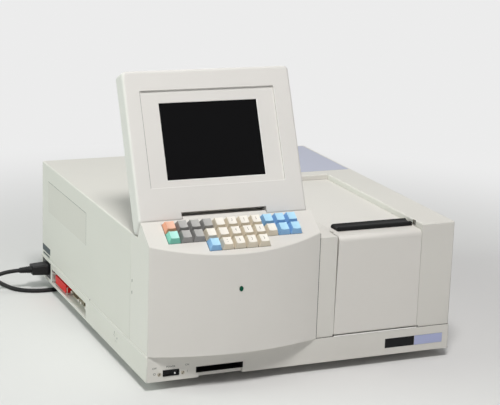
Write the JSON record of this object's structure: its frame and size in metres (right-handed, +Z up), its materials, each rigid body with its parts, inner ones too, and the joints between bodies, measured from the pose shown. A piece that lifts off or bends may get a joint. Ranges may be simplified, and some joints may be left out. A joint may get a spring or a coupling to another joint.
{
  "type": "uv-vis spectrophotometer",
  "caption": "Bench-top spectrophotometer with a bowed key console, a folding display, a sliding sample lid, a drop-down front door and a mains lead.",
  "frame": {"origin": "on the bench, under the middle of the casing", "axes": "+X to the instrument's right as its user sees it, +Y to the back, +Z up"},
  "size_m": [0.6589, 0.6953, 0.4476],
  "materials": {
    "case": "fine-grained moulded off-white plastic",
    "case_light": "fine-grained moulded off-white plastic, a little lighter",
    "display": "fine-grained moulded off-white plastic",
    "screen": "dark unlit screen with a clear front",
    "black_plastic": "black moulded plastic",
    "black_gloss": "smooth black moulded plastic",
    "rail": "extruded, plain",
    "black_coat": "matt black coated sheet metal",
    "black_metal": "black anodised",
    "key_orange": "moulded key plastic",
    "key_grey": "moulded key plastic",
    "key_cream": "moulded key plastic",
    "key_blue": "moulded key plastic",
    "key_mint": "moulded key plastic",
    "green_lens": "dark green lens, unlit",
    "socket_metal": "yellow-passivated plating",
    "wire": "spring wire",
    "red_cap": "soft red plastic",
    "casting": "cast, dull",
    "steel": "laminated and sheet steel",
    "board": "green lacquered board",
    "rubber": "moulded rubber",
    "lead": "flexible black sheath and moulded ends"
  },
  "bodies": {
    "chassis": {"base_pan": "case", "card_slot": "black_plastic", "cell_holder": "black_metal", "console_housing": "case_light", "feet": "rubber", "hinge_block": "black_plastic", "key_board": "board", "lamp_house": "casting", "lid_rails": "rail", "main_board": "board", "main_cover": "case", "mains_coil": "lead", "mains_connector": "lead", "mains_cord": "lead", "mains_inlet": "black_gloss", "optical_bench": "casting", "port_cap": "red_cap", "power_supply": "steel", "ribbon_port": "socket_metal", "sample_chamber": "black_coat", "serial_ports": "socket_metal", "status_lamp": "green_lens", "switch_body": "black_plastic", "wall_plug": "lead"},
    "display": {"display_front": "display", "display_back": "display", "lcd_panel": "screen"},
    "lid": {"sample_lid": "case_light", "lid_grip": "black_plastic"},
    "door": {"sample_door": "case_light"},
    "rocker": {"power_rocker": "black_gloss"},
    "front_bail": {"bail_front": "wire"},
    "rear_bail": {"bail_rear": "wire"},
    "key_01": {"key_01": "key_orange"},
    "key_02": {"key_02": "key_grey"},
    "key_03": {"key_03": "key_grey"},
    "key_04": {"key_04": "key_grey"},
    "key_05": {"key_05": "key_cream"},
    "key_06": {"key_06": "key_cream"},
    "key_07": {"key_07": "key_cream"},
    "key_08": {"key_08": "key_cream"},
    "key_09": {"key_09": "key_blue"},
    "key_10": {"key_10": "key_blue"},
    "key_11": {"key_11": "key_blue"},
    "key_12": {"key_12": "key_mint"},
    "key_13": {"key_13": "key_grey"},
    "key_14": {"key_14": "key_grey"},
    "key_15": {"key_15": "key_cream"},
    "key_16": {"key_16": "key_cream"},
    "key_17": {"key_17": "key_cream"},
    "key_18": {"key_18": "key_cream"},
    "key_19": {"key_19": "key_cream"},
    "key_20": {"key_20": "key_cream"},
    "key_21": {"key_21": "key_blue"},
    "key_22": {"key_22": "key_blue"},
    "key_23": {"key_23": "key_blue"},
    "key_24": {"key_24": "key_cream"},
    "key_25": {"key_25": "key_cream"},
    "key_26": {"key_26": "key_cream"},
    "key_27": {"key_27": "key_cream"}
  },
  "joints": [
    {"name": "display_tilt", "type": "hinge", "parent": "chassis", "child": "display", "pos_m": [0, -0.206, 0.2315], "axis": [-1, 0, 0], "range_deg": [0, 66]},
    {"name": "lid_slide", "type": "slide", "parent": "chassis", "child": "lid", "axis": [0, 1, 0], "range_m": [0, 0.2]},
    {"name": "door_drop", "type": "hinge", "parent": "chassis", "child": "door", "pos_m": [0.121, -0.259, 0.0615], "axis": [1, 0, 0], "range_deg": [0, 90]},
    {"name": "power_rock", "type": "hinge", "parent": "chassis", "child": "rocker", "pos_m": [-0.21205, -0.262, 0.0271], "axis": [0, 0, 1], "range_deg": [0, 16]},
    {"name": "front_bail_swing", "type": "hinge", "parent": "chassis", "child": "front_bail", "pos_m": [-0.2395, 0.1415, 0.0305], "axis": [0, 0, -1], "range_deg": [-20, 30]},
    {"name": "rear_bail_swing", "type": "hinge", "parent": "chassis", "child": "rear_bail", "pos_m": [-0.2395, 0.2125, 0.0305], "axis": [0, 0, 1], "range_deg": [-20, 30]},
    {"name": "key_01_press", "type": "slide", "parent": "chassis", "child": "key_01", "axis": [0, 0.5397, -0.8419], "range_m": [0, 0.0035], "stiffness_N_per_m": 90, "springref_m": -0.003},
    {"name": "key_02_press", "type": "slide", "parent": "chassis", "child": "key_02", "axis": [0, 0.5397, -0.8419], "range_m": [0, 0.0035], "stiffness_N_per_m": 90, "springref_m": -0.003},
    {"name": "key_03_press", "type": "slide", "parent": "chassis", "child": "key_03", "axis": [0, 0.5397, -0.8419], "range_m": [0, 0.0035], "stiffness_N_per_m": 90, "springref_m": -0.003},
    {"name": "key_04_press", "type": "slide", "parent": "chassis", "child": "key_04", "axis": [0, 0.5397, -0.8419], "range_m": [0, 0.0035], "stiffness_N_per_m": 90, "springref_m": -0.003},
    {"name": "key_05_press", "type": "slide", "parent": "chassis", "child": "key_05", "axis": [0, 0.5397, -0.8419], "range_m": [0, 0.0035], "stiffness_N_per_m": 90, "springref_m": -0.003},
    {"name": "key_06_press", "type": "slide", "parent": "chassis", "child": "key_06", "axis": [0, 0.5397, -0.8419], "range_m": [0, 0.0035], "stiffness_N_per_m": 90, "springref_m": -0.003},
    {"name": "key_07_press", "type": "slide", "parent": "chassis", "child": "key_07", "axis": [0, 0.5397, -0.8419], "range_m": [0, 0.0035], "stiffness_N_per_m": 90, "springref_m": -0.003},
    {"name": "key_08_press", "type": "slide", "parent": "chassis", "child": "key_08", "axis": [0, 0.5397, -0.8419], "range_m": [0, 0.0035], "stiffness_N_per_m": 90, "springref_m": -0.003},
    {"name": "key_09_press", "type": "slide", "parent": "chassis", "child": "key_09", "axis": [0, 0.5397, -0.8419], "range_m": [0, 0.0035], "stiffness_N_per_m": 90, "springref_m": -0.003},
    {"name": "key_10_press", "type": "slide", "parent": "chassis", "child": "key_10", "axis": [0, 0.5397, -0.8419], "range_m": [0, 0.0035], "stiffness_N_per_m": 90, "springref_m": -0.003},
    {"name": "key_11_press", "type": "slide", "parent": "chassis", "child": "key_11", "axis": [0, 0.5397, -0.8419], "range_m": [0, 0.0035], "stiffness_N_per_m": 90, "springref_m": -0.003},
    {"name": "key_12_press", "type": "slide", "parent": "chassis", "child": "key_12", "axis": [0, 0.5397, -0.8419], "range_m": [0, 0.0035], "stiffness_N_per_m": 90, "springref_m": -0.003},
    {"name": "key_13_press", "type": "slide", "parent": "chassis", "child": "key_13", "axis": [0, 0.5397, -0.8419], "range_m": [0, 0.0035], "stiffness_N_per_m": 90, "springref_m": -0.003},
    {"name": "key_14_press", "type": "slide", "parent": "chassis", "child": "key_14", "axis": [0, 0.5397, -0.8419], "range_m": [0, 0.0035], "stiffness_N_per_m": 90, "springref_m": -0.003},
    {"name": "key_15_press", "type": "slide", "parent": "chassis", "child": "key_15", "axis": [0, 0.5397, -0.8419], "range_m": [0, 0.0035], "stiffness_N_per_m": 90, "springref_m": -0.003},
    {"name": "key_16_press", "type": "slide", "parent": "chassis", "child": "key_16", "axis": [0, 0.5397, -0.8419], "range_m": [0, 0.0035], "stiffness_N_per_m": 90, "springref_m": -0.003},
    {"name": "key_17_press", "type": "slide", "parent": "chassis", "child": "key_17", "axis": [0, 0.5397, -0.8419], "range_m": [0, 0.0035], "stiffness_N_per_m": 90, "springref_m": -0.003},
    {"name": "key_18_press", "type": "slide", "parent": "chassis", "child": "key_18", "axis": [0, 0.5397, -0.8419], "range_m": [0, 0.0035], "stiffness_N_per_m": 90, "springref_m": -0.003},
    {"name": "key_19_press", "type": "slide", "parent": "chassis", "child": "key_19", "axis": [0, 0.5397, -0.8419], "range_m": [0, 0.0035], "stiffness_N_per_m": 90, "springref_m": -0.003},
    {"name": "key_20_press", "type": "slide", "parent": "chassis", "child": "key_20", "axis": [0, 0.5397, -0.8419], "range_m": [0, 0.0035], "stiffness_N_per_m": 90, "springref_m": -0.003},
    {"name": "key_21_press", "type": "slide", "parent": "chassis", "child": "key_21", "axis": [0, 0.5397, -0.8419], "range_m": [0, 0.0035], "stiffness_N_per_m": 90, "springref_m": -0.003},
    {"name": "key_22_press", "type": "slide", "parent": "chassis", "child": "key_22", "axis": [0, 0.5397, -0.8419], "range_m": [0, 0.0035], "stiffness_N_per_m": 90, "springref_m": -0.003},
    {"name": "key_23_press", "type": "slide", "parent": "chassis", "child": "key_23", "axis": [0, 0.5397, -0.8419], "range_m": [0, 0.0035], "stiffness_N_per_m": 90, "springref_m": -0.003},
    {"name": "key_24_press", "type": "slide", "parent": "chassis", "child": "key_24", "axis": [0, 0.5397, -0.8419], "range_m": [0, 0.0035], "stiffness_N_per_m": 90, "springref_m": -0.003},
    {"name": "key_25_press", "type": "slide", "parent": "chassis", "child": "key_25", "axis": [0, 0.5397, -0.8419], "range_m": [0, 0.0035], "stiffness_N_per_m": 90, "springref_m": -0.003},
    {"name": "key_26_press", "type": "slide", "parent": "chassis", "child": "key_26", "axis": [0, 0.5397, -0.8419], "range_m": [0, 0.0035], "stiffness_N_per_m": 90, "springref_m": -0.003},
    {"name": "key_27_press", "type": "slide", "parent": "chassis", "child": "key_27", "axis": [0, 0.5397, -0.8419], "range_m": [0, 0.0035], "stiffness_N_per_m": 90, "springref_m": -0.003}
  ]
}
